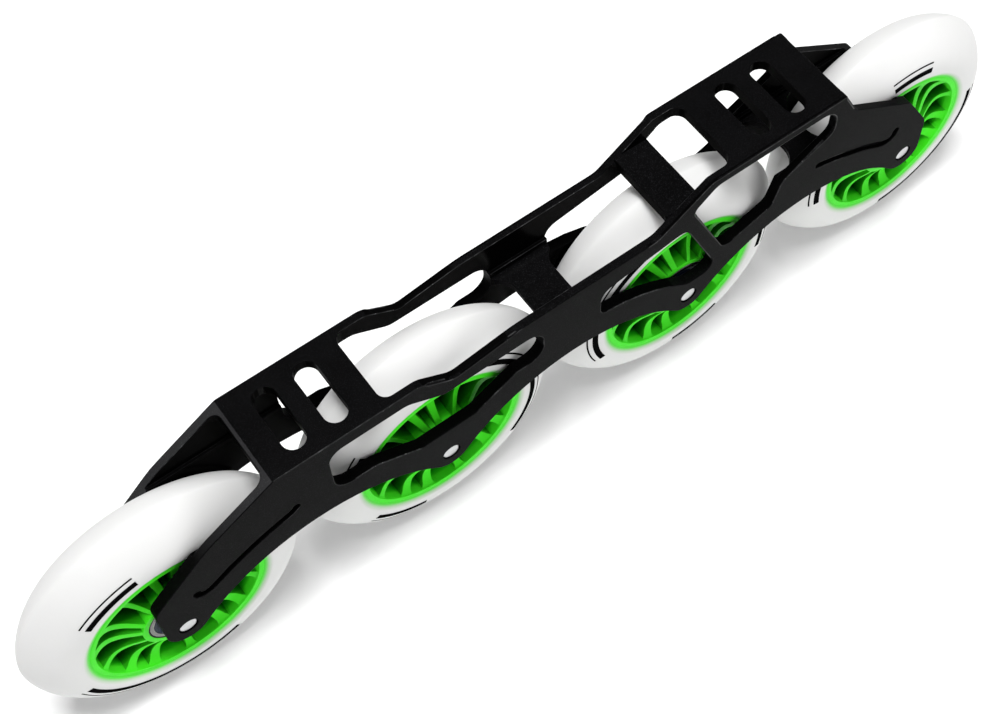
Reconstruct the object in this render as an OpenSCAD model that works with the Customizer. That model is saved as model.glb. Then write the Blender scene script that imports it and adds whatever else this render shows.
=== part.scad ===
// In-line speed skate frame: a one-piece milled channel with two side plates, a toe plate, a
// raised heel plate and three cross bridges, carrying four wheels on bearings and screw axles.
// Millimetres. +X points to the toe, +Z up, +Y to the side where the axles' threaded ends show.
// The origin is on the ground under the middle of the wheelbase.

/* [Wheels] */
// Distance from the first axle to the last
wheelbase = 304.8; // [280:0.1:340]
// Wheel diameter
wheel_d = 100; // [90:1:110]
// Width of a tyre and of a hub
wheel_w = 24; // [22:0.5:25]
// Outer radius of the hub, where the tyre is cast on
hub_r = 31.3; // [28:0.1:34]
// Inner radius of the hub's rim
rim_r = 29.3; // [26:0.1:32]
// Outer radius of the boss around the bearings
boss_r = 13.4; // [12.5:0.1:15]
// Thickness of a narrow rib
rib_thin = 2.2; // [1.5:0.1:3]
// Thickness of a wide rib
rib_wide = 3.1; // [2:0.1:4]
// Angle from a narrow rib to the wide rib on each side of it
rib_step = 26.5; // [22:0.5:30]
// How far the ribs dip below the wheel's face at their lowest
rib_dip = 3.5; // [1:0.1:5]
// Half the thickness of the web between the two sides of a hub
web_half = 1.2; // [0.8:0.1:3]

/* [Bearings] */
// Outer diameter of a bearing
brg_od = 22; // [22:1:24]
// Bore of a bearing
brg_id = 8; // [7:1:8]
// Width of a bearing
brg_w = 7; // [6:0.5:7]
// Diameter of the circle that the balls run on
ball_pcd = 15; // [14:0.1:16]
// Ball radius
ball_r = 1.98; // [1.5:0.01:2]
// Balls in each bearing
ball_n = 7; // [6:1:8]

/* [Frame] */
// Width over the two side plates
frame_w = 34.2; // [30:0.1:40]
// Thickness of a side plate above the ridge
wall_top = 3; // [2.5:0.1:4]
// Thickness of a side plate below the ridge
wall_low = 4.2; // [3.5:0.1:5]
// Height of the ridge above the axles
ridge_h = 36.1; // [30:0.1:40]
// Height of the toe plate's top above the axles
toe_h = 55.3; // [50:0.1:60]
// Height of the heel plate's top above the axles
heel_h = 65; // [60:0.1:72]
// Thickness of the toe and heel plates
plate_t = 4.4; // [3:0.1:6]
// Radius of the frame around each axle
lug_r = 7.7; // [7:0.1:10]
// Radius of the arches between the axles
arch_r = 60; // [50:1:80]

/* [Mounting slots] */
// Distance of the toe plate's slots behind the first axle
toe_slots = [53.6, 68.6];
// Distance of the heel plate's slots behind the first axle
heel_slots = [235, 250];
// Width of a slot
slot_w = 8.2; // [6:0.1:9]
// Length of a slot across the plate
slot_l = 24.6; // [18:0.1:26]

/* [Axles] */
// Radius of the axle's plain shank
axle_r = 3.97; // [3.9:0.01:4]
// Radius of the threaded end
thread_r = 3.3; // [3:0.1:3.5]
// Radius of the head
head_r = 5.6; // [5:0.1:6.5]
// Height of the head, sunk flush in its seat
head_h = 2.2; // [1.5:0.1:3]

/* [Hidden] */
$fn = 96;
pitch = wheelbase / 3;
axle_h = wheel_d / 2;
half = frame_w / 2;
face = wheel_w / 2;
eps = 0.01;
// How far each wheel is turned, so that no two stand alike
turn = [50.7, 65.5, 3.5, 14];
// Depth from the lug circles' centres down to the arch circles' centres: the two are tangent
arch_drop = sqrt(pow(arch_r + lug_r, 2) - pow(pitch / 2, 2));
arch_a = atan2(arch_drop, pitch / 2);
// Arc step for rounded corners
corner_step = 11;

black = [0.05, 0.05, 0.055];
green = [0.25, 0.85, 0.2];
white = [0.93, 0.93, 0.91];
steel = [0.72, 0.72, 0.74];
blue = [0.1, 0.13, 0.2];

// ---- outlines: x runs rearwards from the toe axle, y is the height above the axles ----
function unit(v) = v / norm(v);
function xy(p) = [p[0], p[1]];
function corner(a, p, b, r) = r <= 0 ? [p] :
  let (u = unit(a - p), v = unit(b - p), th = acos(u * v), d = r / tan(th / 2),
       o = p + unit(u + v) * (r / sin(th / 2)), s = p + u * d - o, e = p + v * d - o,
       a0 = atan2(s[1], s[0]), da = (atan2(e[1], e[0]) - a0 + 540) % 360 - 180,
       n = max(2, ceil(abs(da) / corner_step)))
  [for (i = [0:n]) o + r * [cos(a0 + da * i / n), sin(a0 + da * i / n)]];
// A closed outline from [x, y, corner radius] rows
function rounded(p) = let (n = len(p))
  [for (i = [0:n - 1]) each corner(xy(p[(i + n - 1) % n]), xy(p[i]), xy(p[(i + 1) % n]), p[i][2])];
function arc(c, r, a0, a1, n) = [for (i = [0:n]) c + r * [cos(a0 + (a1 - a0) * i / n), sin(a0 + (a1 - a0) * i / n)]];
// A band of width w along a line of points, with round ends
function band(p, w) = let (n = len(p),
    d = [for (i = [0:n - 1]) unit(p[min(i + 1, n - 1)] - p[max(i - 1, 0)])],
    a0 = atan2(d[0][1], d[0][0]), a1 = atan2(d[n - 1][1], d[n - 1][0]))
  concat([for (i = [1:n - 2]) p[i] + [-d[i][1], d[i][0]] * w / 2],
         arc(p[n - 1], w / 2, a1 + 90, a1 - 90, 8),
         [for (i = [n - 2:-1:1]) p[i] + [d[i][1], -d[i][0]] * w / 2],
         arc(p[0], w / 2, a0 - 90, a0 - 270, 8));

// The upper edge of a side plate, from the toe arm to the heel arm
top_edge = [
  [-lug_r, 19.4, 7], [14.5, 39.6, 30], [41, toe_h, 2.5], [94, toe_h, 7], [106.3, 47.2, 6],
  [130, 50.7, 40], [186.6, 51, 7], [208.2, heel_h, 3], [265.8, heel_h, 1.5], [272.6, 52, 5],
  [301.2, 33.4, 7], [wheelbase + lug_r, 14.6, 7]
];
// The lower edge, from the heel end back to the toe: lugs joined by arches
low_edge = [for (k = [3:-1:0]) each concat(
  arc([k * pitch, 0], lug_r, k == 3 ? 0 : -arch_a, k == 0 ? -180 : -180 + arch_a, k == 3 || k == 0 ? 12 : 8),
  k == 0 ? [] : arc([(k - 0.5) * pitch, -arch_drop], arch_r, arch_a + 2, 178 - arch_a, 20))];
side_edge = let (n = len(top_edge)) concat(
  [for (i = [0:n - 1]) each corner(i == 0 ? [-lug_r, 0] : xy(top_edge[i - 1]), xy(top_edge[i]),
    i == n - 1 ? [wheelbase + lug_r, 0] : xy(top_edge[i + 1]), top_edge[i][2])],
  low_edge);

// Side windows
window_a = rounded([[59.4, 49, 5.5], [88.5, 49, 7], [101.8, 41.1, 7], [140.4, 41.1, 6.5], [140.4, 25.1, 6.5],
  [129.4, 25.1, 3], [112.4, 16, 4], [91.2, 16, 4], [74.2, 24.5, 4], [59.4, 24.5, 7]]);
// The lower edge of this one follows the arch below it
window_b = rounded([[163.8, 27, 3.6], [164, 39.9, 5.5], [199.2, 45.5, 4], [215, 8.8, 4.5], [202, 8.8, 5],
  [195.5, 14, 0], [189, 18.3, 0], [182, 22, 0], [174, 25, 0]]);
window_c = rounded([[202, 53.4, 3], [211.2, 60.3, 6], [262.4, 60.3, 6.5], [262.4, 48, 4.5], [241.6, 36.9, 5],
  [237.9, 25, 3.5], [217.4, 17.6, 4.5]]);

// Milled grooves in the toe and heel arms
groove_toe = [[6.8, 17.3], [7.2, 15.7], [9, 14.8], [11.5, 15.2], [15, 17.2], [19, 19.8], [24, 22.4], [29, 24.7], [34, 26.7], [39, 28.3], [43, 29.5], [45.3, 31.2]];
groove_heel = [[258.5, 32], [261.5, 31], [266.5, 29.2], [271.5, 27.4], [276.5, 25.3], [281.5, 23.1], [286.5, 20.3], [290, 18.1], [292.6, 17.1], [294.8, 17.3], [296.2, 18.5], [296.8, 20.7]];
groove_w = 2.8;
groove_d = 1.6;

module from_toe() { translate([wheelbase / 2, 0, axle_h]) mirror([1, 0, 0]) children(); }
module slab(y0, y1) { translate([0, y1, 0]) rotate([90, 0, 0]) linear_extrude(y1 - y0) children(); }
module on_axle(k) { from_toe() translate([(k - 1) * pitch, 0, 0]) children(); }
module along_y(y) { translate([0, y, 0]) rotate([-90, 0, 0]) children(); }

module plate_outline() {
  difference() {
    polygon(side_edge);
    polygon(window_a);
    polygon(window_b);
    polygon(window_c);
  }
}

module low_part() { translate([-20, -20]) square([wheelbase + 40, 20 + ridge_h]); }

// One side plate, at the +Y side of the middle: its lower part is thicker
module side_plate() {
  slab(half - wall_top, half) plate_outline();
  slab(half - wall_low, half - wall_top) intersection() { plate_outline(); low_part(); }
  // Bosses that meet the bearings' inner races
  for (k = [0:3]) translate([k * pitch, face, 0]) rotate([-90, 0, 0]) cylinder(r = 5.7, h = half - wall_low - face + 1);
}

// A cross piece from x0 to x1 with its top at height h, and corners rounded into the side plates.
// Its top also curves up into the side plates by root. Trimmed pieces follow the side plates' outline
// all the way across; the others stay whole between the side plates.
module cross_piece(x0, x1, h, t, r0, r1, w, root = 0, trimmed = true) {
  intersection() {
    translate([0, 0, h - t]) linear_extrude(t + root) polygon(rounded([
      [x0 - r0 - 0.4, -w - 1.4, 0], [x0 - r0 - 0.4, -w, 0], [x0, -w, r0], [x0, w, r0], [x0 - r0 - 0.4, w, 0], [x0 - r0 - 0.4, w + 1.4, 0],
      [x1 + r1 + 0.4, w + 1.4, 0], [x1 + r1 + 0.4, w, 0], [x1, w, r1], [x1, -w, r1], [x1 + r1 + 0.4, -w, 0], [x1 + r1 + 0.4, -w - 1.4, 0]]));
    union() {
      slab(-half + 1, half - 1) plate_outline();
      if (!trimmed) translate([x0, -w, h - t - 1]) cube([x1 - x0, 2 * w, t + 2]);
    }
    if (root > 0) translate([x0 - r0 - 1, 0, 0]) rotate([90, 0, 90]) linear_extrude(x1 - x0 + r0 + r1 + 2)
      polygon(rounded([[-w - 1.4, h - t - 1, 0], [w + 1.4, h - t - 1, 0], [w + 1.4, h + root, 0], [w, h + root, 0], [w, h, root],
                       [-w, h, root], [-w, h + root, 0], [-w - 1.4, h + root, 0]]));
  }
}

module slot(x, h) {
  translate([x, 0, h - plate_t - 1]) linear_extrude(plate_t + 2)
    polygon(rounded([[-slot_w / 2, -slot_l / 2, slot_w / 2 - eps], [-slot_w / 2, slot_l / 2, slot_w / 2 - eps],
                     [slot_w / 2, slot_l / 2, slot_w / 2 - eps], [slot_w / 2, -slot_l / 2, slot_w / 2 - eps]]));
}

module frame() {
  color(black) from_toe() difference() {
    union() {
      side_plate();
      mirror([0, 1, 0]) side_plate();
      cross_piece(39.6, 82, toe_h, plate_t, 3.5, 3.5, half - wall_top);
      cross_piece(145.4, 160.5, 33, 2.6, 8, 8, half - wall_low, 2.6);
      cross_piece(192.6, 206.2, 56.4, 4.2, 1.5, 2, half - wall_top, 0, false);
      cross_piece(219.4, 265.8, heel_h, plate_t, 4.2, 0.2, half - wall_top);
      cross_piece(253.2, 264, 34, 2.6, 8.4, 9.5, half - wall_low);
    }
    for (x = toe_slots) slot(x, toe_h);
    for (x = heel_slots) slot(x, heel_h);
    // The axles' heads sink into the -Y side, and their threaded ends show at the +Y side
    for (k = [0:3]) translate([k * pitch, 0, 0]) {
      along_y(-half - 1) cylinder(r = axle_r + 0.03, h = half + 1);
      along_y(-half - 1) cylinder(r = head_r + 0.2, h = head_h + 1);
      along_y(0) cylinder(r = thread_r + 0.05, h = half + 1);
      along_y(half - 0.9) cylinder(r = thread_r + 0.12, h = 2);
    }
    for (s = [-1, 1]) {
      slab(s > 0 ? half - groove_d : -half - 1, s > 0 ? half + 1 : -half + groove_d) polygon(band(groove_toe, groove_w));
      slab(s > 0 ? half - groove_d : -half - 1, s > 0 ? half + 1 : -half + groove_d) polygon(band(groove_heel, groove_w));
    }
  }
}

// ---- wheels ----
tyre_n = 14;
tyre_side_r = 35.6;
tyre_half = [for (i = [0:tyre_n]) let (u = sin(90 * i / tyre_n))
  [tyre_side_r + (axle_h - tyre_side_r) * u, face * pow(max(0, 1 - pow(u, 1.9)), 1 / 1.4)]];
anchor = [[hub_r, -4], [hub_r + 2.2, -3], [hub_r + 2.2, 3], [hub_r, 4]];

module tyre(k) {
  color(white) on_axle(k) rotate([90, 0, 0]) rotate_extrude($fn = 128) polygon(concat(
    [[hub_r, -face]], [for (p = tyre_half) [p[0], -p[1]]],
    [for (i = [tyre_n - 1:-1:0]) tyre_half[i]], [[hub_r, face]],
    [for (i = [3:-1:0]) anchor[i]]));
}

// Height of a rib's edge above the wheel's middle plane, at radius r
function rib_y(r) = face - rib_dip * sin(180 * pow(max(0, min(1, (r - 12.3) / 17.7)), 1.3));
rib_n = 9;
rib_edge = [for (i = [0:rib_n]) let (r = boss_r - 1 + (rim_r + 0.8 - boss_r + 1) * i / rib_n) [r, rib_y(r) - 0.05]];
module rib(a, w) {
  rotate([0, -a, 0]) translate([0, 0, -w / 2]) linear_extrude(w)
    polygon(concat(rib_edge, [for (i = [rib_n:-1:0]) [rib_edge[i][0], -rib_edge[i][1]]]));
}

module hub(k) {
  color(green) on_axle(k) difference() {
    union() {
      rotate([90, 0, 0]) rotate_extrude($fn = 128)
        polygon([[rim_r, -face], [hub_r, -face], each anchor, [hub_r, face], [rim_r, face]]);
      rotate([90, 0, 0]) cylinder(r = boss_r, h = wheel_w, center = true);
      rotate([90, 0, 0]) cylinder(r = rim_r + 1, h = 2 * web_half, center = true);
      for (j = [0:4]) {
        rib(turn[k - 1] + 72 * j, rib_thin);
        rib(turn[k - 1] + 72 * j + rib_step, rib_wide);
        rib(turn[k - 1] + 72 * j - rib_step, rib_wide);
      }
    }
    rotate([90, 0, 0]) cylinder(r = 9.4, h = wheel_w + 2, center = true);
    for (s = [-1, 1]) along_y(s > 0 ? face - brg_w : -face - 1) cylinder(r = brg_od / 2, h = brg_w + 1);
  }
}

// ---- bearings: drawn about the middle of each bearing, outer side at +z ----
module both_bearings(k) {
  on_axle(k) for (s = [0, 1]) mirror([0, s, 0]) translate([0, face - brg_w / 2, 0]) rotate([-90, 0, 0]) children();
}
module raceway() { rotate_extrude() translate([ball_pcd / 2, 0]) circle(r = ball_r + 0.12, $fn = 48); }

module bearing_outer_races(k) {
  color(steel) both_bearings(k) difference() {
    rotate_extrude() polygon([[brg_od / 2, -brg_w / 2 + 0.3], [brg_od / 2, brg_w / 2 - 0.3], [brg_od / 2 - 0.3, brg_w / 2], [9.4, brg_w / 2],
      [9.4, 2.7], [8.9, 2.7], [8.9, -2.7], [9.4, -2.7], [9.4, -brg_w / 2], [brg_od / 2 - 0.3, -brg_w / 2]]);
    raceway();
  }
}
module bearing_shields(k) {
  color(blue) both_bearings(k) for (s = [-1, 1]) rotate_extrude()
    polygon([[6.5, s * 2.85], [9.4, s * 2.85], [9.4, s * 3.3], [8.9, s * 3.3], [8.7, s * 3.2], [6.9, s * 3.2], [6.7, s * 3.3], [6.5, s * 3.3]]);
}
module bearing_balls(k) {
  color(steel) both_bearings(k) for (i = [0:ball_n - 1]) rotate([0, 0, 360 * i / ball_n]) translate([ball_pcd / 2, 0, 0]) sphere(r = ball_r, $fn = 48);
}
module bearing_cages(k) {
  color(white) both_bearings(k) difference() {
    translate([0, 0, -0.8]) difference() {
      cylinder(r = 8.1, h = 3.4);
      translate([0, 0, -1]) cylinder(r = 6.9, h = 6);
    }
    for (i = [0:ball_n - 1]) rotate([0, 0, 360 * i / ball_n]) translate([ball_pcd / 2, 0, 0]) sphere(r = ball_r + 0.15, $fn = 48);
  }
}
module bearing_inner_races(k) {
  color(steel) both_bearings(k) difference() {
    rotate_extrude() polygon([[brg_id / 2, -brg_w / 2], [6.1, -brg_w / 2], [6.1, brg_w / 2], [brg_id / 2, brg_w / 2]]);
    raceway();
  }
}
module bearing_spacer(k) {
  color(steel) on_axle(k) rotate([90, 0, 0]) difference() {
    cylinder(r = 5.6, h = wheel_w - 2 * brg_w, center = true);
    cylinder(r = 4.1, h = wheel_w, center = true);
  }
}
module axle_bolt(k) {
  color(steel) on_axle(k) difference() {
    union() {
      along_y(-half) rotate_extrude() polygon([[0, 0], [head_r - 0.9, 0], [head_r, 0.9], [head_r, head_h], [axle_r, head_h],
        [axle_r, half + face - 0.45], [axle_r - 0.4, half + face - 0.05], [thread_r, half + face - 0.05],
        [thread_r, half * 2 - 0.9], [thread_r - 0.4, half * 2 - 0.4], [0, half * 2 - 0.4]]);
    }
    along_y(-half - 1) cylinder(r = 4 / sqrt(3), h = 4.4, $fn = 6);
  }
}

frame();
tyre(1);  // tyre_1
hub(1);  // hub_1
bearing_outer_races(1);  // bearing_outer_races_1
bearing_shields(1);  // bearing_shields_1
bearing_balls(1);  // bearing_balls_1
bearing_cages(1);  // bearing_cages_1
bearing_inner_races(1);  // bearing_inner_races_1
bearing_spacer(1);  // bearing_spacer_1
axle_bolt(1);  // axle_bolt_1
tyre(2);  // tyre_2
hub(2);  // hub_2
bearing_outer_races(2);  // bearing_outer_races_2
bearing_shields(2);  // bearing_shields_2
bearing_balls(2);  // bearing_balls_2
bearing_cages(2);  // bearing_cages_2
bearing_inner_races(2);  // bearing_inner_races_2
bearing_spacer(2);  // bearing_spacer_2
axle_bolt(2);  // axle_bolt_2
tyre(3);  // tyre_3
hub(3);  // hub_3
bearing_outer_races(3);  // bearing_outer_races_3
bearing_shields(3);  // bearing_shields_3
bearing_balls(3);  // bearing_balls_3
bearing_cages(3);  // bearing_cages_3
bearing_inner_races(3);  // bearing_inner_races_3
bearing_spacer(3);  // bearing_spacer_3
axle_bolt(3);  // axle_bolt_3
tyre(4);  // tyre_4
hub(4);  // hub_4
bearing_outer_races(4);  // bearing_outer_races_4
bearing_shields(4);  // bearing_shields_4
bearing_balls(4);  // bearing_balls_4
bearing_cages(4);  // bearing_cages_4
bearing_inner_races(4);  // bearing_inner_races_4
bearing_spacer(4);  // bearing_spacer_4
axle_bolt(4);  // axle_bolt_4
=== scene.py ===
import bmesh, bpy, math
import numpy as np
from mathutils import Matrix, Vector, kdtree


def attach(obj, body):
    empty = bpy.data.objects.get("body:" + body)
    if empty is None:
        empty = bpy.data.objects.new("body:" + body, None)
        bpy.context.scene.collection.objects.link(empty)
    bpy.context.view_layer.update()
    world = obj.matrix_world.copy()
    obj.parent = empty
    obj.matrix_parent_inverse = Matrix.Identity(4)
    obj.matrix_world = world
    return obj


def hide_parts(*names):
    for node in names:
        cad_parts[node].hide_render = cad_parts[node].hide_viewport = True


# All sizes below are in millimetres and are scaled to metres when a mesh is made.
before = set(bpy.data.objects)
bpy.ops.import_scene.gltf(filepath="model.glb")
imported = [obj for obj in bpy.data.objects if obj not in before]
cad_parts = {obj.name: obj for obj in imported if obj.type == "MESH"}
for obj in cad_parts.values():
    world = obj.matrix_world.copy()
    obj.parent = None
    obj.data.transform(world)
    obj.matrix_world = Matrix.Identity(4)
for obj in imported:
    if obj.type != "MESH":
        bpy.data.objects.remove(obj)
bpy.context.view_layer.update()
scene = bpy.context.scene
MM = 0.001
PITCH, AXLE_H, FACE, HALF = 101.6, 50.0, 12.0, 17.1
TURN = {1: 50.7, 2: 65.5, 3: 3.5, 4: 14.0}      # how far each wheel is turned
CENTRE = {k: Vector(((152.4 - PITCH * (k - 1)) * MM, 0, AXLE_H * MM)) for k in TURN}


# ---------------------------------------------------------------- materials
class Nodes:
    def __init__(self, name, **sockets):
        self.mat = bpy.data.materials.new(name)
        self.mat.use_nodes = True
        self.tree = self.mat.node_tree
        self.bsdf = self.tree.nodes["Principled BSDF"]
        for key, value in sockets.items():
            self.set(self.bsdf, key.replace("_", " "), value)

    def set(self, node, key, value):
        socket = node.inputs[key]
        if isinstance(value, bpy.types.NodeSocket):
            self.tree.links.new(value, socket)
        else:
            socket.default_value = value

    def add(self, kind, inputs=None, **props):
        node = self.tree.nodes.new("ShaderNode" + kind)
        for key, value in props.items():
            setattr(node, key, value)
        for key, value in (inputs or {}).items():
            self.set(node, key, value)
        return node

    def ramp(self, fac, *stops):
        node = self.add("ValToRGB", {"Fac": fac})
        while len(node.color_ramp.elements) < len(stops):
            node.color_ramp.elements.new(0.5)
        for element, (at, colour) in zip(node.color_ramp.elements, stops):
            element.position = at
            element.color = (*colour, 1) if len(colour) == 3 else colour
        return node.outputs["Color"]

    def noise(self, scale, detail=3.0, rough=0.5, vector=None):
        node = self.add("TexNoise", {"Scale": scale, "Detail": detail, "Roughness": rough})
        self.set(node, "Vector", vector or self.coords())
        return node.outputs["Fac"]

    def coords(self):
        if not hasattr(self, "_coords"):
            self._coords = self.add("TexCoord").outputs["Object"]
        return self._coords

    def math(self, op, a, b=0.0, clamp=False):
        return self.add("Math", {0: a, 1: b}, operation=op, use_clamp=clamp).outputs[0]

    def span(self, value, a, b, c=0.0, d=1.0, kind="LINEAR"):
        return self.add("MapRange", {"Value": value, "From Min": a, "From Max": b, "To Min": c, "To Max": d},
                        interpolation_type=kind).outputs["Result"]

    def mix(self, fac, a, b):
        node = self.add("Mix", data_type="RGBA")
        self.set(node, "Factor", fac)
        for key, value in ((6, a), (7, b)):
            if isinstance(value, bpy.types.NodeSocket):
                self.tree.links.new(value, node.inputs[key])
            else:
                node.inputs[key].default_value = (*value, 1)
        return node.outputs[2]

    def bump(self, height, distance, strength=1.0):
        return self.add("Bump", {"Height": height, "Distance": distance, "Strength": strength}).outputs["Normal"]

    def radius(self):
        """Distance from the local Y axis, in millimetres."""
        split = self.add("SeparateXYZ", {0: self.coords()})
        x2 = self.math("MULTIPLY", split.outputs[0], split.outputs[0])
        z2 = self.math("MULTIPLY", split.outputs[2], split.outputs[2])
        return self.math("MULTIPLY", self.math("SQRT", self.math("ADD", x2, z2)), 1000.0)


def frame_material(name="frame_black_anodised", ior=1.06, low=(0.0014, 0.0014, 0.0015), high=(0.0026, 0.0026, 0.0028),
                   spark=(0.019, 0.019, 0.021), fade=False, rough=(0.36, 0.52)):
    n = Nodes(name, Roughness=0.42, IOR=ior)
    grain = n.noise(4200, 2, 0.6)
    speck = n.noise(3200, 2, 0.5)
    cloud = n.noise(60, 3)
    dark = n.mix(n.span(cloud, 0.3, 0.7), low, high)
    if fade:
        # painted shade: the near arm's face grows darker down towards its axle
        place = n.add("SeparateXYZ", {0: n.coords()})
        kept = n.math("MAXIMUM", n.span(place.outputs[2], 0.086, 0.100), n.span(place.outputs[1], -0.009, -0.012))
        dark, spark = n.mix(kept, (0.0012, 0.0012, 0.0012), dark), n.mix(kept, (0.006, 0.006, 0.006), spark)
    # painted highlights: sparse lighter specks in the base colour stand in for glints off the grain
    glint = n.span(speck, 0.56, 0.78)
    n.set(n.bsdf, "Base Color", n.mix(glint, dark, spark))
    n.set(n.bsdf, "Roughness", n.span(grain, 0.3, 0.7, *rough))
    n.set(n.bsdf, "Normal", n.bump(grain, 0.00003, 0.5))
    return n.mat


def edge_material():
    # arrises: a lighter base colour, partly real wear and partly painted highlight; the glints are painted highlights
    # too
    n = Nodes("frame_edge_wear_and_painted_highlight", Roughness=0.34, IOR=1.15)
    wear_and_highlight = n.noise(500, 3)
    kept = n.span(n.noise(150, 2), 0.42, 0.62)
    base = n.mix(n.span(wear_and_highlight, 0.35, 0.7), (0.007, 0.007, 0.0075), (0.050, 0.050, 0.052))
    base = n.mix(kept, (0.006, 0.006, 0.0064), base)
    glint = n.math("MULTIPLY", n.span(n.noise(1700, 2, 0.6), 0.64, 0.74), n.span(kept, 0.0, 1.0, 0.35, 1.0))
    n.set(n.bsdf, "Base Color", n.mix(glint, base, (0.25, 0.25, 0.255)))
    n.set(n.bsdf, "Roughness", n.span(wear_and_highlight, 0.3, 0.7, 0.28, 0.45))
    return n.mat


def tyre_material():
    n = Nodes("tyre_white_urethane", Roughness=0.5, IOR=1.24, Subsurface_Weight=0.35, Subsurface_Scale=0.003)
    n.set(n.bsdf, "Subsurface Radius", (1.0, 1.0, 0.9))
    r = n.radius()
    milk = n.mix(n.span(n.noise(45, 3), 0.3, 0.7), (0.67, 0.67, 0.665), (0.69, 0.69, 0.685))
    halo = n.ramp(n.span(r, 31.3, 34.3), (0.0, (0.055, 0.76, 0.02)), (0.12, (0.09, 0.72, 0.05)), (0.25, (0.16, 0.70, 0.12)),
                  (0.42, (0.38, 0.64, 0.35)), (0.6, (0.55, 0.64, 0.53)), (0.8, (0.64, 0.66, 0.63)), (1.0, (0.68, 0.68, 0.675)))
    n.set(n.bsdf, "Base Color", n.mix(n.span(r, 33.6, 34.3), halo, milk))
    fine = n.noise(900, 3)
    n.set(n.bsdf, "Roughness", n.span(fine, 0.3, 0.7, 0.46, 0.58))
    n.set(n.bsdf, "Normal", n.bump(fine, 0.00004, 0.35))
    return n.mat


def hub_material(name="hub_green_nylon", tone=1.0):
    """Green nylon with painted shade that grows darker with depth; tone darkens the ribs' side walls with more painted
    shade.
    """
    n = Nodes(name, Roughness=0.4, IOR=1.14)
    shade = n.noise(120, 3)
    top = n.mix(n.span(shade, 0.3, 0.7), (0.050, 0.74, 0.014), (0.065, 0.80, 0.022))
    y = n.math("ABSOLUTE", n.add("SeparateXYZ", {0: n.coords()}).outputs[1])
    # painted shade: darker the deeper into a pocket
    depth_shade = n.ramp(n.span(y, 0.001, 0.009), *((at, tuple(tone * c for c in colour)) for at, colour in (
        (0.0, (0.0004, 0.04, 0.0004)), (0.25, (0.0008, 0.075, 0.0008)), (0.5, (0.003, 0.20, 0.002)), (0.75, (0.015, 0.48, 0.006)),
        (0.95, (0.045, 0.72, 0.012)))))
    # painted shade: on the rib walls the face colour is darkened too
    face = n.mix(n.span(y, 0.0078, 0.0086), depth_shade, tuple(0.55 * c for c in (0.045, 0.72, 0.012)) if tone < 1 else top)
    # painted shadow: a near-black ring at the bore's edge
    bore_shadow = n.span(n.radius(), 11.38, 11.52)
    n.set(n.bsdf, "Base Color", n.mix(bore_shadow, (0.002, 0.012, 0.002), face))
    fine = n.noise(1500, 3)
    n.set(n.bsdf, "Roughness", n.span(fine, 0.3, 0.7, 0.3, 0.44))
    n.set(n.bsdf, "Normal", n.bump(fine, 0.00004, 0.4))
    return n.mat


def ink_material():
    n = Nodes("print_black_ink", Roughness=0.5, IOR=1.012)
    n.set(n.bsdf, "Base Color", n.mix(n.span(n.noise(2500, 3), 0.35, 0.7), (0.0015, 0.0015, 0.0015), (0.004, 0.004, 0.004)))
    return n.mat


def turned_metal(name, colour, rough, rings=2.2):
    """Metal with fine concentric turning marks about the local Y axis."""
    n = Nodes(name, Metallic=1.0)
    r = n.radius()
    wave = n.add("TexNoise", {"Vector": n.add("CombineXYZ", {0: n.math("MULTIPLY", r, rings)}).outputs[0],
                              "Scale": 1.0, "Detail": 3.0}).outputs["Fac"]
    dirt = n.noise(350, 3)
    n.set(n.bsdf, "Base Color", n.mix(n.span(dirt, 0.3, 0.7), tuple(0.86 * c for c in colour), colour))
    n.set(n.bsdf, "Roughness", n.span(wave, 0.3, 0.7, rough - 0.06, rough + 0.08))
    n.set(n.bsdf, "Normal", n.bump(wave, 0.00004, 0.4))
    return n.mat


def shield_material():
    n = Nodes("shield_blue_coated", Metallic=0.2, Roughness=0.36, IOR=1.10)
    n.set(n.bsdf, "Base Color", n.mix(n.span(n.noise(600, 3), 0.3, 0.7), (0.010, 0.017, 0.040), (0.018, 0.028, 0.056)))
    n.set(n.bsdf, "Roughness", n.span(n.noise(1800, 2), 0.3, 0.7, 0.28, 0.44))
    return n.mat


def nylon_material():
    n = Nodes("cage_nylon", Roughness=0.5, IOR=1.5)
    n.set(n.bsdf, "Base Color", n.mix(n.span(n.noise(500, 3), 0.3, 0.7), (0.72, 0.69, 0.62), (0.8, 0.78, 0.72)))
    return n.mat


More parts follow.
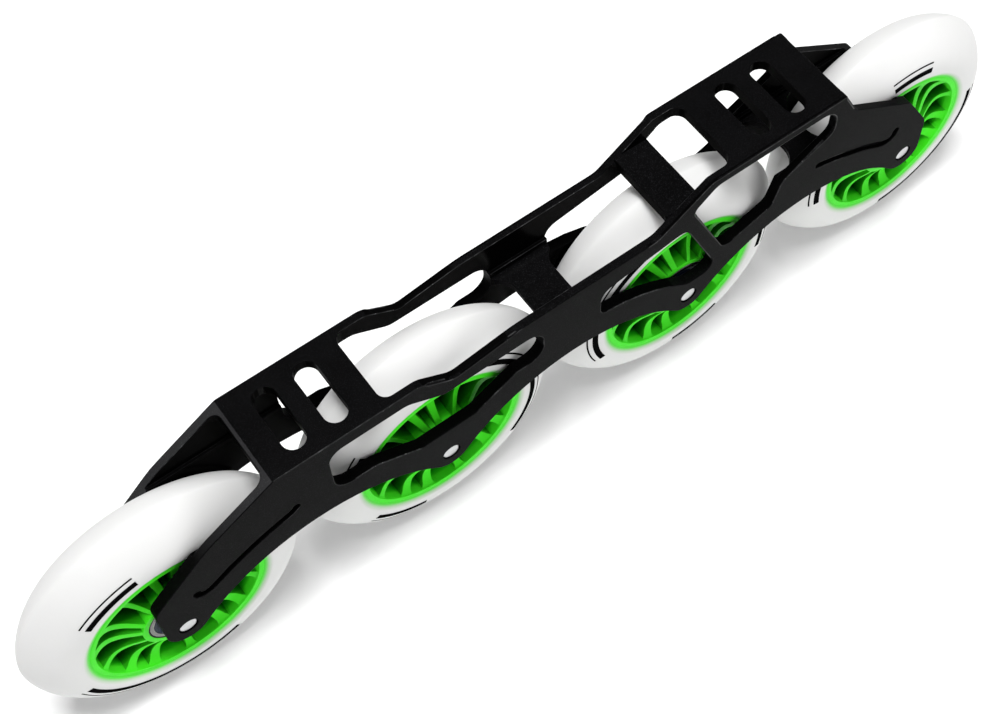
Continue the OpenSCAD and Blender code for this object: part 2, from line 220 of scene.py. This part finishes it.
MAT = {
    "frame": frame_material(), "edge": edge_material(),
    # painted light: a lighter copy of the black for the faces turned towards the toe
    "milled": frame_material("frame_black_milled", 1.08, (0.017, 0.017, 0.018), (0.026, 0.026, 0.027), (0.050, 0.050, 0.053), True),
    # painted light: a lighter copy of the black for the bridges' toe-facing ends
    "front": frame_material("frame_black_bridge_end_painted_light", 1.06, (0.0045, 0.0045, 0.0047), (0.0065, 0.0065, 0.0068)),
    # painted shade: a darker, glossier copy of the black for the channel's inner faces
    "wall": frame_material("frame_black_channel_painted_shade", 1.065, (0.0006, 0.0006, 0.0006), (0.0010, 0.0010, 0.0010), (0.003, 0.003, 0.003),
                           rough=(0.14, 0.22)),
    # painted shade: the darkest copy of the black, for faces that sit in shade
    "inner": frame_material("frame_black_inner_painted_shade", 1.04, (0.0006, 0.0006, 0.0006), (0.0012, 0.0012, 0.0012), (0.004, 0.004, 0.0043)),
    # hub_side is the hub's material with painted shade on the ribs' side walls
    "tyre": tyre_material(), "hub": hub_material(), "hub_side": hub_material("hub_green_nylon_rib_walls_painted_shade", 0.38),
    "ink": ink_material(), "shield": shield_material(), "cage": nylon_material(),
    # painted shade: the races' steel is made far darker than bright steel
    "race": turned_metal("race_steel", (0.13, 0.125, 0.125), 0.25),
    "ball": turned_metal("ball_steel", (0.7, 0.7, 0.71), 0.15, 0.3),
    "spacer": turned_metal("spacer_aluminium", (0.75, 0.75, 0.76), 0.35),
    "axle": turned_metal("axle_silver", (0.52, 0.515, 0.53), 0.30, 3.0),
}


# ---------------------------------------------------------------- mesh helpers
def new_object(name, verts, faces, mats, body, slot, replaces=(), origin=(0, 0, 0), angle=38, paint=None):
    """A mesh from points in millimetres, measured from origin, riding on a body."""
    me = bpy.data.meshes.new(name)
    me.from_pydata([tuple(c * MM for c in v) for v in verts], [], [tuple(map(int, f)) for f in faces])
    me.update()
    bm = bmesh.new()
    bm.from_mesh(me)
    bmesh.ops.remove_doubles(bm, verts=bm.verts, dist=1e-6)
    bmesh.ops.recalc_face_normals(bm, faces=bm.faces)
    bm.to_mesh(me)
    bm.free()
    for m in mats:
        me.materials.append(MAT[m])
    if paint:
        for p in me.polygons:
            p.material_index = paint(p.center / MM, p.normal)
    o = bpy.data.objects.new(name, me)
    scene.collection.objects.link(o)
    o.location = origin
    smooth(me, angle)
    place(o, body, slot, replaces)
    return o


def smooth(me, angle):
    me.shade_smooth()
    me.set_sharp_from_angle(angle=math.radians(angle))


def place(o, body, slot, replaces=()):
    bpy.context.view_layer.update()
    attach(o, body)
    for r in replaces:
        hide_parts(r)
    return o


def revolve(profile, steps=96, closed=True, a0=0.0, a1=360.0):
    """Faces of a profile of (radius, y) points turned about the Y axis."""
    full = abs(a1 - a0 - 360) < 1e-6
    n, m = len(profile), steps if full else steps + 1
    verts, faces = [], []
    for j in range(m):
        a = math.radians(a0 + (a1 - a0) * j / steps)
        verts += [(-r * math.cos(a), y, r * math.sin(a)) for r, y in profile]
    for j in range(steps):
        p, q = j * n, (j + 1) % m * n
        for i in range(n if closed else n - 1):
            k = (i + 1) % n
            faces.append((p + i, p + k, q + k, q + i))
    if closed and not full:
        faces += [tuple(range(n)), tuple(range((m - 1) * n, m * n))]
    return verts, faces


def rounded_profile(points, steps=5):
    """A closed profile of (r, y, corner radius) rows with its corners rounded."""
    out, n = [], len(points)
    for i, (x, y, c) in enumerate(points):
        p = np.array((x, y), float)
        if c <= 0:
            out.append(tuple(p))
            continue
        a, b = np.array(points[i - 1][:2], float) - p, np.array(points[(i + 1) % n][:2], float) - p
        a, b = a / np.linalg.norm(a), b / np.linalg.norm(b)
        half = math.acos(max(-1, min(1, a @ b))) / 2
        s, e = p + a * c / math.tan(half), p + b * c / math.tan(half)
        o = p + (a + b) / np.linalg.norm(a + b) * c / math.sin(half)
        for t in range(steps + 1):
            v = (s - o) * (1 - t / steps) + (e - o) * (t / steps)
            out.append(tuple(o + v / np.linalg.norm(v) * c))
    return out


# ---------------------------------------------------------------- frame
def arris_width(e):
    """How wide an edge of the frame is rounded, in millimetres; 0 where it stays as it is."""
    if len(e.link_faces) != 2 or not math.radians(28) < e.calc_face_angle(0) < 2.2:
        return 0.0
    a, b = (v.co / MM for v in e.verts)
    mid = (a + b) / 2
    s, h, y = 152.4 - mid.x, mid.z - AXLE_H, abs(mid.y)
    if not e.is_convex:
        return 0.2
    if h > 44 and y > HALF - 0.05 and 100 < s < 270:
        return 0.9
    if y > HALF - 0.05 and abs(abs(a.y) - abs(b.y)) < 0.01:
        return 0.3
    return 0.22


TOP = ((-8, 19.4), (14.5, 39.6), (41, 55.3), (94, 55.3), (106.3, 47.2), (130, 50.7), (186.6, 51), (208.2, 65), (265.8, 65),
       (272.6, 52), (301.2, 33.4), (313, 14.6))     # the side plates' upper edge


def in_window(c, n):
    """True on the walls of a side plate's windows that face up."""
    s, h = 152.4 - c.x, c.z - AXLE_H
    top = np.interp(s, [p[0] for p in TOP], [p[1] for p in TOP])
    return n.z > 0.1 and abs(n.y) < 0.3 and abs(c.y) > 12.8 and h < top - 4 and h > 12


def skate_frame():
    """The frame, cut on a mill, with its arrises rounded: about 1 mm along the top outside, finer elsewhere; some of
    its faces get painted light, some painted shade.
    """
    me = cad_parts["frame"].data.copy()
    me.name = "frame_machined"
    me.materials.clear()
    for m in ("frame", "edge", "milled", "inner", "front", "wall"):
        me.materials.append(MAT[m])
    bm = bmesh.new()
    bm.from_mesh(me)
    bmesh.ops.remove_doubles(bm, verts=bm.verts, dist=3e-6)
    bmesh.ops.dissolve_limit(bm, angle_limit=math.radians(0.6), verts=bm.verts, edges=bm.edges)
    bm.normal_update()
    # long arrises get short end pieces, so that a tight corner narrows only the end
    for e in [e for e in bm.edges if arris_width(e) and e.calc_length() > 5 * MM]:
        v, far = e.verts
        near = bmesh.utils.edge_split(e, v, 1.6 * MM / e.calc_length())[1]
        e = bm.edges.get((near, far))
        bmesh.utils.edge_split(e, far, 1.6 * MM / e.calc_length())
    bm.normal_update()
    layer = bm.edges.layers.float.new("bevel_weight_edge")
    bm.edges.index_update()
    width = {}
    for e in bm.edges:
        w = arris_width(e)
        for v in e.verts if w else ():
            d = (e.other_vert(v).co - v.co).normalized()
            for k in v.link_edges:
                if k is not e and abs(d.dot((k.other_vert(v).co - v.co).normalized())) < 0.85:
                    w = min(w, 0.42 * k.calc_length() / MM)
        width[e.index] = w
    for f in bm.faces:
        f.smooth = True
        c, n = f.calc_center_median() / MM, f.normal
        f.material_index = 0
        # painted light: faces of the arms turned to the toe get the lighter copy of the black
        if n.x > 0.3 and n.z > 0.15 and abs(n.y) < 0.3 and c.x > 110.9:
            f.material_index = 2
        # painted light: the bridges' toe-facing ends get a lighter copy of the black
        elif n.x > 0.7 and abs(n.z) < 0.3 and abs(c.y) < 13.6 and c.z < 98 and c.x < 20:
            f.material_index = 4
        # painted shade: the side walls' inner faces get a darker copy of the black
        elif abs(c.y) < 14.3 and n.y * c.y < 0 and abs(n.y) > 0.9:
            f.material_index = 5
        # painted shade: undersides, the windows' upward walls, a strip of the toe deck's top and the slots' walls get
        # the darkest copy of the black
        elif n.z < -0.4 or in_window(c, n) or (n.z > 0.8 and abs(c.y) > 13.9 and 24.4 < c.x < 58 and c.z > 94):
            f.material_index = 3
        elif abs(n.z) < 0.1 and abs(n.x) > 0.1 and abs(c.y) < 12.5 and c.z > 98:
            f.material_index = 3
    o = bpy.data.objects.new("frame_machined", me)
    scene.collection.objects.link(o)
    acute = [v.co.copy() for e in bm.edges if len(e.link_faces) == 2 and e.calc_face_angle(0) >= 2.2 for v in e.verts]
    for attempt in range(20):
        bm.edges.ensure_lookup_table()
        for i, w in width.items():
            bm.edges[i][layer] = w
        bm.to_mesh(me)
        mod = o.modifiers.new("arrises", "BEVEL")
        mod.limit_method = "WEIGHT"
        mod.width = 1.0 * MM
        mod.segments = 3
        mod.profile = 0.5
        mod.use_clamp_overlap = False
        mod.material = 1
        mod.miter_outer = "MITER_SHARP"
        mod.harden_normals = False
        bpy.context.view_layer.update()
        done = bpy.data.meshes.new_from_object(o.evaluated_get(bpy.context.evaluated_depsgraph_get()))
        o.modifiers.clear()
        out = bmesh.new()
        out.from_mesh(done)
        bmesh.ops.remove_doubles(out, verts=out.verts, dist=1e-6)
        out.normal_update()
        # places where the rounding has folded over itself or stands out of the solid
        bad = [v.co for e in out.edges if len(e.link_faces) != 2 or e.calc_face_angle(0) > 2.3 for v in e.verts]
        bad += [v.co for v in out.verts if abs(v.co.y) > (HALF + 0.002) * MM]
        bad = [c for c in bad if all((c - q).length > 0.7 * MM for q in acute)]
        if not bad or attempt == 19:
            break
        tree = kdtree.KDTree(len(bad))
        for i, c in enumerate(bad):
            tree.insert(c, i)
        tree.balance()
        for e in bm.edges:
            if width[e.index] > 0:
                a, b = (v.co for v in e.verts)
                near = min(tree.find(q)[2] for q in (a, b, (a + b) / 2))
                if near < 0.7 * MM + 0.7 * width[e.index] * MM:
                    w = width[e.index] * 0.55
                    width[e.index] = w if w > 0.03 else 0.0
        out.free()
    for f in [f for f in out.faces if f.material_index == 1]:
        c = f.calc_center_median() / MM
        if any(len(e.link_faces) == 2 and not e.is_convex and e.calc_face_angle(0) > 0.1 for e in f.edges):
            f.material_index = 0          # a fillet in an inner corner gets no painted highlight
        elif abs(c.y) < 14.0 and not (abs(c.z - 86.1) < 0.6 and -14 < c.x < 14):
            f.material_index = 0          # nor do the arrises inside the channel, but for the ridge's by the front bridge
        elif abs(c.y) > HALF - 1.0 and (c.x > 111 or c.x < -118 or c.z < 66):
            f.material_index = 0          # nor those round the arms and the lugs
        elif c.z > 94 and abs(c.y) > HALF - 1.05 and 0.2 < abs(f.normal.y) < 0.8 and -118 < c.x < 52:
            f.material_index = 3          # only the outermost line of the wide arris keeps the painted highlight; the rest takes painted shade
    out.to_mesh(done)
    out.free()
    bm.free()
    o.data = done
    smooth(done, 32)
    mod = o.modifiers.new("normals", "WEIGHTED_NORMAL")
    mod.keep_sharp = True
    mod.weight = 60
    return place(o, "frame_body", "frame_black", ["frame"])


# ---------------------------------------------------------------- wheels
RIB_W = {0: 2.2, 1: 3.1, 2: 3.1}     # width halfway out; every rib widens towards the rim
RIM_R, HUB_R, BOSS_R, WEB = 29.3, 31.3, 13.4, 1.2
SUNK = 0.9                           # how far the rim lies below the tyre's face


def rib_width(i, r):
    t = min(1.0, max(0.0, (r - BOSS_R) / (RIM_R - BOSS_R)))
    return RIB_W[i] * (0.74 + 0.62 * t ** 1.5) + 1.1 * max(0.0, (t - 0.90) / 0.10) ** 2


def rib_top(r):
    dip = 3.5 * math.sin(math.pi * min(1.0, max(0.0, (r - 12.3) / 17.7)) ** 1.3)
    t = min(1.0, max(0.0, (r - 20) / (RIM_R - 20)))
    return FACE - dip - SUNK * t * t * (3 - 2 * t)


ROUND = 0.24        # rounding of the ribs' and pockets' upper edges
ROOT = 0.7          # fillet at the foot of a pocket's walls
DRAFT = 0.22        # how far a wall leans over its height


def wall(d, top, floor):
    """Height of a wall at distance d past its upper edge line; negative d is on the rib."""
    if d <= -ROUND:
        return top
    if d <= 0:
        u = d + ROUND
        return top - ROUND + math.sqrt(max(0.0, ROUND ** 2 - u ** 2)) if u > 0 else top
    if d <= DRAFT:
        return top - ROUND + (floor + ROOT - top + ROUND) * d / DRAFT
    if d <= DRAFT + ROOT:
        u = DRAFT + ROOT - d
        return floor + ROOT - math.sqrt(max(0.0, ROOT ** 2 - u ** 2))
    return floor


def hub_paint(c, n):
    """1 on the ribs' side walls, which take the copy with more painted shade, 0 elsewhere."""
    r = math.hypot(c.x, c.z)
    side = abs(n.z * c.x - n.x * c.z) / max(r, 1e-6)
    return 1 if 13.3 < r < RIM_R and side > 0.6 and abs(n.y) < 0.7 else 0


def hub_mesh():
    """One hub at zero turn: rings of points, each ring at one radius, with columns along every rib's edges."""
    ribs = sorted([(72 * j + da, i) for j in range(5) for i, da in enumerate((0, 26.5, -26.5))])
    n_rib = len(ribs)
    rings = [11.3, 12.0, 12.6, BOSS_R - ROUND, BOSS_R - 0.18, BOSS_R - 0.1, BOSS_R - 0.04, BOSS_R, BOSS_R + DRAFT,
             BOSS_R + DRAFT + 0.08, BOSS_R + DRAFT + 0.25, BOSS_R + DRAFT + ROOT]
    rings += [BOSS_R + DRAFT + ROOT + (RIM_R - BOSS_R - 2 * DRAFT - 2 * ROOT) * i / 22 for i in range(1, 22)]
    rings += [RIM_R - DRAFT - ROOT, RIM_R - DRAFT - 0.25, RIM_R - DRAFT - 0.08, RIM_R - DRAFT, RIM_R, RIM_R + 0.04,
              RIM_R + 0.1, RIM_R + 0.18, RIM_R + ROUND, 30.3, HUB_R - 0.04]
    inner = [0.0, 0.04, 0.1, 0.18, ROUND]                  # columns on a rib, in from its edge
    outer = [DRAFT, DRAFT + 0.06, DRAFT + 0.2, DRAFT + 0.42, DRAFT + ROOT]
    verts, n_col = [], None
    rows = []
    for r in rings:
        row = []
        for i, (a, kind) in enumerate(ribs):
            b, kind_b = ribs[(i + 1) % n_rib]
            w, wb = rib_width(kind, r), rib_width(kind_b, r)
            if i == n_rib - 1:
                b += 360
            ea = a + math.degrees(math.asin(w / 2 / r))     # where the rib ends
            eb = b - math.degrees(math.asin(wb / 2 / r))    # where the next one starts
            hw = math.radians(eb - ea) * r / 2               # half the pocket's width along the arc
            row.append((a, -w / 2))
            row += [(ea - math.degrees(u / r), -u) for u in reversed(inner)]
            k = min(1.0, hw * 0.9 / (DRAFT + ROOT))
            side = [u * k for u in outer]
            mids = [side[-1] + (hw - side[-1]) * t for t in (0.25, 0.6, 1.0)]
            row += [(ea + math.degrees(u / r), u) for u in side + mids]
            row += [(eb - math.degrees(u / r), u) for u in reversed(side + mids[:-1])]
            row += [(eb + math.degrees(u / r), -u) for u in inner]
        rows.append(row)
    n_col = len(rows[0])
    for sign in (1, -1):
        for r, row in zip(rings, rows):
            floor = WEB + 0.5 * ((r - BOSS_R) / (RIM_R - BOSS_R)) if BOSS_R < r < RIM_R else WEB
            for a, d in row:
                t = rib_top(r)
                y = max(wall(d, t, floor), wall(r - BOSS_R, FACE, floor), wall(RIM_R - r, FACE - SUNK, floor))
                verts.append((-r * math.cos(math.radians(a)), sign * y, r * math.sin(math.radians(a))))
    n_ring, faces = len(rings), []

    def grid(p, q):
        for c in range(n_col):
            faces.append((p + c, p + (c + 1) % n_col, q + (c + 1) % n_col, q + c))

    for s in (0, 1):
        base = s * n_ring * n_col
        for i in range(n_ring - 1):
            grid(base + i * n_col, base + (i + 1) * n_col)
    # the bore and the outside, as extra rings joined to the first and last ring of each face
    angles = [math.radians(a) for a, d in rows[0]]
    outer_angles = [math.radians(a) for a, d in rows[-1]]

    def ring(r, y, ang):
        start = len(verts)
        verts.extend((-r * math.cos(a), y, r * math.sin(a)) for a in ang)
        return start

    bore = [ring(11.0, 11.7, angles), ring(11.0, 5.0, angles), ring(9.4, 5.0, angles), ring(9.4, -5.0, angles),
            ring(11.0, -5.0, angles), ring(11.0, -11.7, angles)]
    chain = [0] + bore + [n_ring * n_col]
    for p, q in zip(chain, chain[1:]):
        grid(p, q)
    out = [ring(r, y, outer_angles) for r, y in ((HUB_R, FACE - SUNK - 0.04), (HUB_R, 4.0), (HUB_R + 2.2, 3.0), (HUB_R + 2.2, -3.0),
                                                 (HUB_R, -4.0), (HUB_R, SUNK + 0.04 - FACE))]
    chain = [(n_ring - 1) * n_col] + out + [(2 * n_ring - 1) * n_col]
    for p, q in zip(chain, chain[1:]):
        grid(p, q)
    return verts, faces


def tyre_y(r):
    """Half the tyre's width at radius r."""
    u = max(0.0, min(1.0, (r - 35.6) / (AXLE_H - 35.6)))
    return FACE * max(0.0, 1 - u ** 1.9) ** (1 / 1.4)


def tyre_mesh():
    upper = [(HUB_R + 0.02, FACE - SUNK - 0.02)]
    for i in range(11):         # a soft shoulder from the rim up to the tyre's face
        t = i / 10
        upper.append((HUB_R + 0.05 + 2.9 * t, FACE - SUNK * (1 - t * t * (3 - 2 * t))))
    upper.append((34.9, FACE))
    n = 40
    for i in range(n + 1):
        u = math.sin(math.radians(90 * i / n))
        r = 35.6 + (AXLE_H - 35.6) * u
        upper.append((r, tyre_y(r)))
    lower = [(r, -y) for r, y in reversed(upper[:-1])]
    inner = [(HUB_R + 0.02, -4.0), (HUB_R + 2.22, -3.0), (HUB_R + 2.22, 3.0), (HUB_R + 0.02, 4.0)]
    return revolve(upper + lower + inner, 256)


def print_arc(k, name, sign, r0, r1, a0, a1, lift=0.035):
    """A printed mark on the tyre's side face: a thin skin between two radii and two angles."""
    n = max(1, int(round((r1 - r0) / 0.35)))
    rs = [r0 + (r1 - r0) * i / n for i in range(n + 1)]
    steps = max(3, int((a1 - a0) / 1.5))

    def up(r):
        e = 0.05
        slope = (tyre_y(r + e) - tyre_y(r - e)) / (2 * e)
        q = 1 / math.hypot(1, slope)
        return (r - slope * q * lift, tyre_y(r) + q * lift)

    profile = [up(r) for r in rs] + [(r, tyre_y(r) - 0.05) for r in reversed(rs)]
    verts, faces = revolve([(r, sign * y) for r, y in profile], steps, True, a0, a1)
    return new_object(f"print_{name}_{k}_{'left' if sign > 0 else 'right'}", verts, faces, ["ink"], f"wheel_{k}",
                      "tyre_white", origin=CENTRE[k], angle=60)


# Printed marks, each a band with a thin line outside it: from, to in degrees, measured on the +Y side
MARKS = {
    1: ((197.3, 293.5), (21.3, 55.3), (100.6, 134.4)),
    2: ((317.6, 416.8), (141.8, 176.0), (219.0, 254.5)),
    3: ((106.0, 205.1), (347.0, 381.0), (268.5, 301.0)),
    4: ((270.0, 366.4), (156.0, 190.0), (73.0, 100.7)),
}


def wheels():
    hub_v, hub_f = hub_mesh()
    tyre_v, tyre_f = tyre_mesh()
    hub_v = np.array(hub_v)
    for k, turn in TURN.items():
        # angles run from the rear (-X) up towards +Z
        a = math.radians(turn)
        x, y, z = hub_v.T
        turned = np.stack([x * math.cos(a) + z * math.sin(a), y, -x * math.sin(a) + z * math.cos(a)], 1)
        new_object(f"hub_spoked_{k}", turned.tolist(), hub_f, ["hub", "hub_side"], f"wheel_{k}", "hub_green", [f"hub_{k}"], CENTRE[k],
                   angle=50, paint=hub_paint)
        new_object(f"tyre_cast_{k}", tyre_v, tyre_f, ["tyre"], f"wheel_{k}", "tyre_white", [f"tyre_{k}"], CENTRE[k], angle=50)
        for name, (a0, a1) in zip("abc", MARKS[k]):
            for sign in (1, -1):
                print_arc(k, f"band_{name}", sign, 36.2, 38.4, a0, a1)
                print_arc(k, f"line_{name}", sign, 39.95, 40.5, a0, a1)


# ---------------------------------------------------------------- bearings and axles
def bearings():
    """Both bearings of each wheel: rounded races and pressed shields in place of the plain rings."""
    mid = FACE - 3.5
    outer = rounded_profile([(11.0, -3.5, 0.35), (11.0, 3.5, 0.35), (9.45, 3.5, 0.12), (9.45, 3.0, 0), (8.9, 2.7, 0), (8.9, 2.0, 0),
                             (9.3, 1.6, 0), (9.5, 0, 0.5), (9.3, -1.6, 0), (8.9, -2.0, 0), (8.9, -2.7, 0), (9.45, -3.0, 0), (9.45, -3.5, 0.12)])
    inner = rounded_profile([(4.02, -3.5, 0.25), (4.02, 3.5, 0.25), (6.1, 3.5, 0.15), (6.1, 2.0, 0), (5.7, 1.5, 0), (5.45, 0, 0.5),
                             (5.7, -1.5, 0), (6.1, -2.0, 0), (6.1, -3.5, 0.15)])
    shield = [(6.45, 2.9), (6.45, 3.18), (6.62, 3.28), (6.85, 3.28), (7.0, 3.16), (8.5, 3.16), (8.65, 3.26), (8.95, 3.34), (9.3, 3.34),
              (9.38, 3.24), (9.38, 2.9), (9.0, 2.8), (7.0, 2.85)]
    for k in TURN:
        for profile, name, node, mat, body in (
                (outer, "outer_races_rounded", "bearing_outer_races", "race", f"wheel_{k}"),
                (inner, "inner_races_rounded", "bearing_inner_races", "race", "frame_body")):
            verts, faces = [], []
            for s in (1, -1):
                v, f = revolve([(r, s * (mid + y)) for r, y in profile], 96)
                faces += [tuple(i + len(verts) for i in q) for q in f]
                verts += v
            new_object(f"{name}_{k}", verts, faces, [mat], body, "race_steel", [f"{node}_{k}"], CENTRE[k])
        verts, faces = [], []
        for s in (1, -1):
            for t in (1, -1):
                v, f = revolve([(r, s * (mid + t * y)) for r, y in shield], 96)
                faces += [tuple(i + len(verts) for i in q) for q in f]
                verts += v
        new_object(f"shields_pressed_{k}", verts, faces, ["shield"], f"wheel_{k}", "shield_dark", [f"bearing_shields_{k}"], CENTRE[k])


def hexagon(r, n):
    out = []
    for i in range(n):
        a = 360 * i / n
        b = (a + 30) % 60 - 30
        out.append((r * math.cos(math.radians(30)) / math.cos(math.radians(b)), a))
    return out


def axles():
    """Screw axles: a low domed head with a hexagon socket at -Y, a plain shank and a threaded end at +Y."""
    n = 96
    for k in TURN:
        verts, faces = [], []

        def ring(points, y):
            start = len(verts)
            verts.extend((-r * math.cos(math.radians(a)), y, r * math.sin(math.radians(a))) for r, a in points)
            return start

        def circle(r, y):
            return ring([(r, 360 * i / n) for i in range(n)], y)

        chain = [ring(hexagon(2.0 / math.cos(math.radians(30)) * 0.55, n), -HALF + 3.4),
                 ring(hexagon(2.0 / math.cos(math.radians(30)), n), -HALF + 2.9),
                 ring(hexagon(2.0 / math.cos(math.radians(30)), n), -HALF + 0.32),
                 ring(hexagon(2.26 / math.cos(math.radians(30)), n), -HALF + 0.04),
                 circle(3.2, -HALF + 0.02)]
        chain += [circle(r, -HALF + y) for r, y in ((4.5, 0.02), (4.9, 0.08), (5.2, 0.25), (5.45, 0.55), (5.58, 0.95), (5.6, 1.3), (5.6, 2.2))]
        chain += [circle(3.97, -HALF + 2.2), circle(3.97, 11.4), circle(3.6, 11.9), circle(3.3, 11.95)]
        y0, y1 = 11.95, HALF - 0.75
        turns = 6
        for i in range(turns * 4 + 1):      # thread crests and roots, as plain rings
            chain.append(circle(3.3 if i % 4 in (0, 1) else 3.02, y0 + 0.15 + (y1 - y0 - 0.2) * i / (turns * 4)))
        chain += [circle(3.18, y1), circle(3.05, HALF - 0.52), circle(2.9, HALF - 0.42), circle(2.6, HALF - 0.38), circle(1.2, HALF - 0.40)]
        for p, q in zip(chain, chain[1:]):
            for c in range(n):
                faces.append((p + c, p + (c + 1) % n, q + (c + 1) % n, q + c))
        faces.append(tuple(chain[0] + i for i in range(n)))
        faces.append(tuple(chain[-1] + i for i in range(n)))
        new_object(f"axle_turned_{k}", verts, faces, ["axle"], "frame_body", "axle_silver", [f"axle_bolt_{k}"], CENTRE[k], angle=30)


def carried_over():
    """CAD nodes that stay as they are get their materials."""
    for k in TURN:
        for node, mat in (("bearing_balls", "ball"), ("bearing_cages", "cage"), ("bearing_spacer", "spacer")):
            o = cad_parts[f"{node}_{k}"]
            o.data.materials.clear()
            o.data.materials.append(MAT[mat])


# ---------------------------------------------------------------- stage
def aim(o, at, target=(0, 0, 0.04)):
    o.location = at
    o.rotation_euler = (Vector(target) - Vector(at)).to_track_quat("-Z", "Y").to_euler()


def area(name, direction, distance, size, power, colour=(1, 1, 1), size_y=None):
    light = bpy.data.lights.new(name, "AREA")
    light.shape = "RECTANGLE"
    light.size, light.size_y = size, size_y or size
    light.energy, light.color = power, colour
    o = bpy.data.objects.new(name, light)
    scene.collection.objects.link(o)
    aim(o, tuple(Vector(direction).normalized() * distance))
    return o


def stage():
    n = Nodes("studio_floor", Roughness=0.85, IOR=1.2)
    n.set(n.bsdf, "Base Color", n.mix(n.span(n.noise(3), 0.3, 0.7), (0.965, 0.965, 0.965), (0.975, 0.975, 0.975)))
    me = bpy.data.meshes.new("floor")
    me.from_pydata([(-6, -6, 0), (6, -6, 0), (6, 6, 0), (-6, 6, 0)], [], [(0, 1, 2, 3)])
    me.materials.append(n.mat)
    floor = bpy.data.objects.new("floor", me)
    scene.collection.objects.link(floor)

    world = bpy.data.worlds.new("studio")
    scene.world = world
    world.use_nodes = True
    world.node_tree.nodes["Background"].inputs[0].default_value = (1, 1, 1, 1)
    world.node_tree.nodes["Background"].inputs[1].default_value = 0.38
    area("key", (0.06, 0.06, 1.0), 1.6, 0.55, 27.0)
    area("fill", (-1.0, 1.0, 0.35), 1.6, 0.7, 5.0)
    area("front_fill", (1.0, 0.5, 0.12), 1.6, 0.7, 2.0)
    scene.view_settings.view_transform = "Standard"
    scene.view_settings.look = "None"


def camera():
    az, el, roll = math.radians(144.4602), math.radians(59.3464), math.radians(-1.2296)
    back = Vector((math.sin(az) * math.cos(el), -math.cos(az) * math.cos(el), math.sin(el)))
    r0 = Vector((math.cos(az), math.sin(az), 0))
    u0 = back.cross(r0)
    right = r0 * math.cos(roll) + u0 * math.sin(roll)
    up = u0 * math.cos(roll) - r0 * math.sin(roll)
    cam = bpy.data.objects.new("camera", bpy.data.cameras.new("camera"))
    scene.collection.objects.link(cam)
    cam.matrix_world = Matrix(((right.x, up.x, back.x, 0.168869), (right.y, up.y, back.y, 0.241266), (right.z, up.z, back.z, 0.569720), (0, 0, 0, 1)))
    cam.data.sensor_width = 36
    cam.data.lens = 61.909
    cam.data.shift_x = -0.05118
    cam.data.shift_y = -0.05361
    cam.data.clip_start = 0.01
    scene.camera = cam


camera()
skate_frame()
wheels()
bearings()
axles()
carried_over()
stage()
